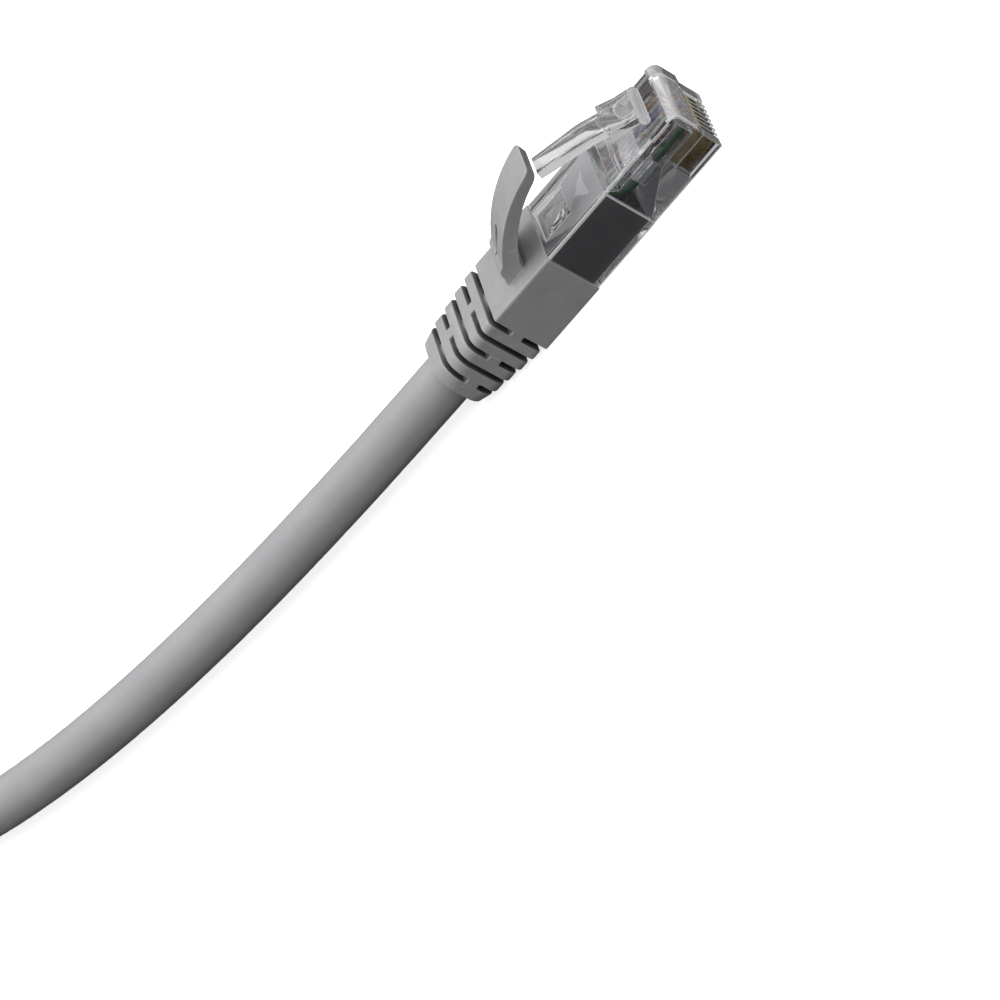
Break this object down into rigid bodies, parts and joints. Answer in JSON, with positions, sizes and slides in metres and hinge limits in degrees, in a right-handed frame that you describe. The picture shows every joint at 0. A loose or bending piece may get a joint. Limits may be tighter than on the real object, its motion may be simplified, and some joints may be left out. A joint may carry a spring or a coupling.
{
  "type": "ethernet patch cable",
  "caption": "Short round grey patch cable with a clear modular plug, a release latch under a curved snagless hood and a ribbed boot on each end.",
  "frame": {"origin": "middle of plug A's nose, at the level of its contact side", "axes": "+X out of plug A's nose, +Z on the latch side, +Y to the plug's left, with the cable bending towards +Y"},
  "size_m": [0.1697, 0.1211, 0.0164],
  "materials": {
    "clear_polycarbonate": "clear moulded polycarbonate, glossy",
    "boot_pvc": "fine matt grey PVC",
    "jacket_pvc": "fine matt grey PVC, extruded",
    "contact_gold": "gold plated phosphor bronze",
    "copper": "bare copper",
    "spline_plastic": "natural polyethylene",
    "ripcord_fibre": "spun thread",
    "insulation_green": "polyethylene insulation",
    "insulation_white_green": "polyethylene insulation",
    "insulation_white_orange": "polyethylene insulation",
    "insulation_blue": "polyethylene insulation",
    "insulation_white_blue": "polyethylene insulation",
    "insulation_orange": "polyethylene insulation",
    "insulation_white_brown": "polyethylene insulation",
    "insulation_brown": "polyethylene insulation"
  },
  "bodies": {
    "plug_a": {"plug_housing_a": "clear_polycarbonate", "load_bar_a": "clear_polycarbonate", "boot_a": "boot_pvc", "contact_1_a": "contact_gold", "contact_2_a": "contact_gold", "contact_3_a": "contact_gold", "contact_4_a": "contact_gold", "contact_5_a": "contact_gold", "contact_6_a": "contact_gold", "contact_7_a": "contact_gold", "contact_8_a": "contact_gold", "cable_jacket": "jacket_pvc", "cross_spline": "spline_plastic", "ripcord": "ripcord_fibre", "wire_green": "insulation_green", "wire_white_green": "insulation_white_green", "wire_white_orange": "insulation_white_orange", "wire_blue": "insulation_blue", "wire_white_blue": "insulation_white_blue", "wire_orange": "insulation_orange", "wire_white_brown": "insulation_white_brown", "wire_brown": "insulation_brown", "core_green": "copper", "core_white_green": "copper", "core_white_orange": "copper", "core_blue": "copper", "core_white_blue": "copper", "core_orange": "copper", "core_white_brown": "copper", "core_brown": "copper"},
    "latch_a": {"plug_latch_a": "clear_polycarbonate"},
    "hood_a": {"boot_hood_a": "boot_pvc"},
    "plug_b": {"plug_housing_b": "clear_polycarbonate", "load_bar_b": "clear_polycarbonate", "boot_b": "boot_pvc", "contact_1_b": "contact_gold", "contact_2_b": "contact_gold", "contact_3_b": "contact_gold", "contact_4_b": "contact_gold", "contact_5_b": "contact_gold", "contact_6_b": "contact_gold", "contact_7_b": "contact_gold", "contact_8_b": "contact_gold"},
    "latch_b": {"plug_latch_b": "clear_polycarbonate"},
    "hood_b": {"boot_hood_b": "boot_pvc"}
  },
  "joints": [
    {"name": "hood_press_a", "type": "hinge", "parent": "plug_a", "child": "hood_a", "pos_m": [-0.0284, 0, 0.0093], "axis": [0, 1, 0], "range_deg": [0, 14]},
    {"name": "latch_press_a", "type": "hinge", "parent": "plug_a", "child": "latch_a", "pos_m": [-0.0036, 0, 0.00865], "axis": [0, -1, 0], "range_deg": [0, 14]},
    {"name": "cable_flex", "type": "hinge", "parent": "plug_a", "child": "plug_b", "pos_m": [-0.1594, 0.0365, 0.00415], "axis": [0, 0, 1], "range_deg": [-45, 70], "deforming": ["cable_jacket", "cross_spline", "ripcord", "wire_green", "wire_white_green", "wire_white_orange", "wire_blue", "wire_white_blue", "wire_orange", "wire_white_brown", "wire_brown", "core_green", "core_white_green", "core_white_orange", "core_blue", "core_white_blue", "core_orange", "core_white_brown", "core_brown"]},
    {"name": "hood_press_b", "type": "hinge", "parent": "plug_b", "child": "hood_b", "pos_m": [-0.16372, 0.08672, 0.0093], "axis": [-1, 0, 0], "range_deg": [0, 14]},
    {"name": "latch_press_b", "type": "hinge", "parent": "plug_b", "child": "latch_b", "pos_m": [-0.16372, 0.11152, 0.00865], "axis": [1, 0, 0], "range_deg": [0, 14]}
  ],
  "couplings": [
    {"joint": "latch_press_a", "follows": "hood_press_a", "ratio": 0.95},
    {"joint": "latch_press_b", "follows": "hood_press_b", "ratio": 0.95}
  ]
}
